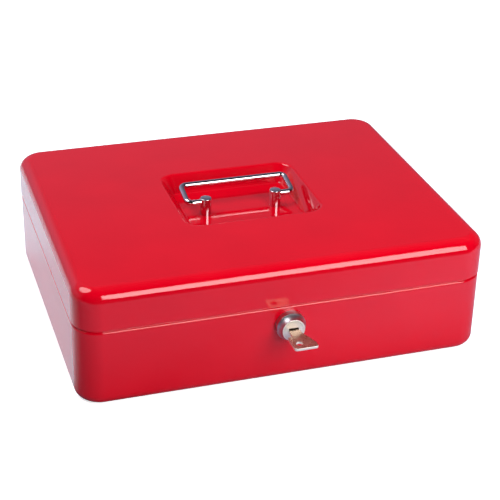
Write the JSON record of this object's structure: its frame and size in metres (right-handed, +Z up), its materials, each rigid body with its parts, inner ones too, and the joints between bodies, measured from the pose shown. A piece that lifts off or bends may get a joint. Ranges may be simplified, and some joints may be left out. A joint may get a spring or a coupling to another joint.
{
  "type": "cash box",
  "caption": "Red enamelled steel cash box with rolled edges, a chrome wire handle in a lid recess, rear hinges, a coin tray and a cam lock with its key.",
  "frame": {"origin": "on the rest face under the middle of the box", "axes": "+X to the right, +Y to the hinges at the back, +Z up; the lock faces -Y"},
  "size_m": [0.3, 0.2802, 0.0936],
  "materials": {
    "red_enamel": "high-gloss stoved enamel on drawn steel sheet",
    "zinc_plate": "bright zinc-plated pressed steel",
    "polished_pin": "bright drawn steel",
    "chrome_plate": "polished chrome plate",
    "brass": "plain machined brass",
    "satin_face": "satin nickel-chrome plate",
    "spring_steel": "oiled spring wire",
    "key_steel": "stamped nickel-plated steel",
    "black_abs": "black moulded ABS with a fine texture"
  },
  "bodies": {
    "case": {"body_shell": "red_enamel", "left_tray_rest": "zinc_plate", "right_tray_rest": "zinc_plate", "left_hinge_lower_leaf": "zinc_plate", "right_hinge_lower_leaf": "zinc_plate", "left_hinge_pin": "polished_pin", "right_hinge_pin": "polished_pin", "lock_housing": "chrome_plate", "lock_washer": "zinc_plate", "lock_nut": "brass"},
    "lid": {"lid_shell": "red_enamel", "lid_catch": "zinc_plate", "left_hinge_upper_leaf": "zinc_plate", "right_hinge_upper_leaf": "zinc_plate", "left_handle_post": "chrome_plate", "right_handle_post": "chrome_plate", "left_post_washer": "zinc_plate", "right_post_washer": "zinc_plate"},
    "handle": {"handle_bail": "chrome_plate"},
    "plug": {"lock_plug": "satin_face", "lock_wafers": "brass", "wafer_springs": "spring_steel", "lock_cam": "zinc_plate", "cam_washer": "zinc_plate", "cam_screw": "zinc_plate"},
    "latch_key": {"key": "key_steel"},
    "tray": {"coin_tray": "black_abs"}
  },
  "joints": [
    {"name": "lid_hinge", "type": "hinge", "parent": "case", "child": "lid", "pos_m": [0, 0.1234, 0.06], "axis": [-1, 0, 0], "range_deg": [0, 100]},
    {"name": "handle_swing", "type": "hinge", "parent": "lid", "child": "handle", "pos_m": [0, -0.002, 0.087], "axis": [1, 0, 0], "range_deg": [-31, 188]},
    {"name": "lock_turn", "type": "hinge", "parent": "case", "child": "plug", "pos_m": [0, -0.1197, 0.0445], "axis": [0, 1, 0], "range_deg": [0, 90]},
    {"name": "key_slide", "type": "slide", "parent": "plug", "child": "latch_key", "axis": [0, -1, 0], "range_m": [0, 0.03]},
    {"name": "tray_lift", "type": "slide", "parent": "case", "child": "tray", "axis": [0, 0, 1], "range_m": [0, 0.016]}
  ]
}
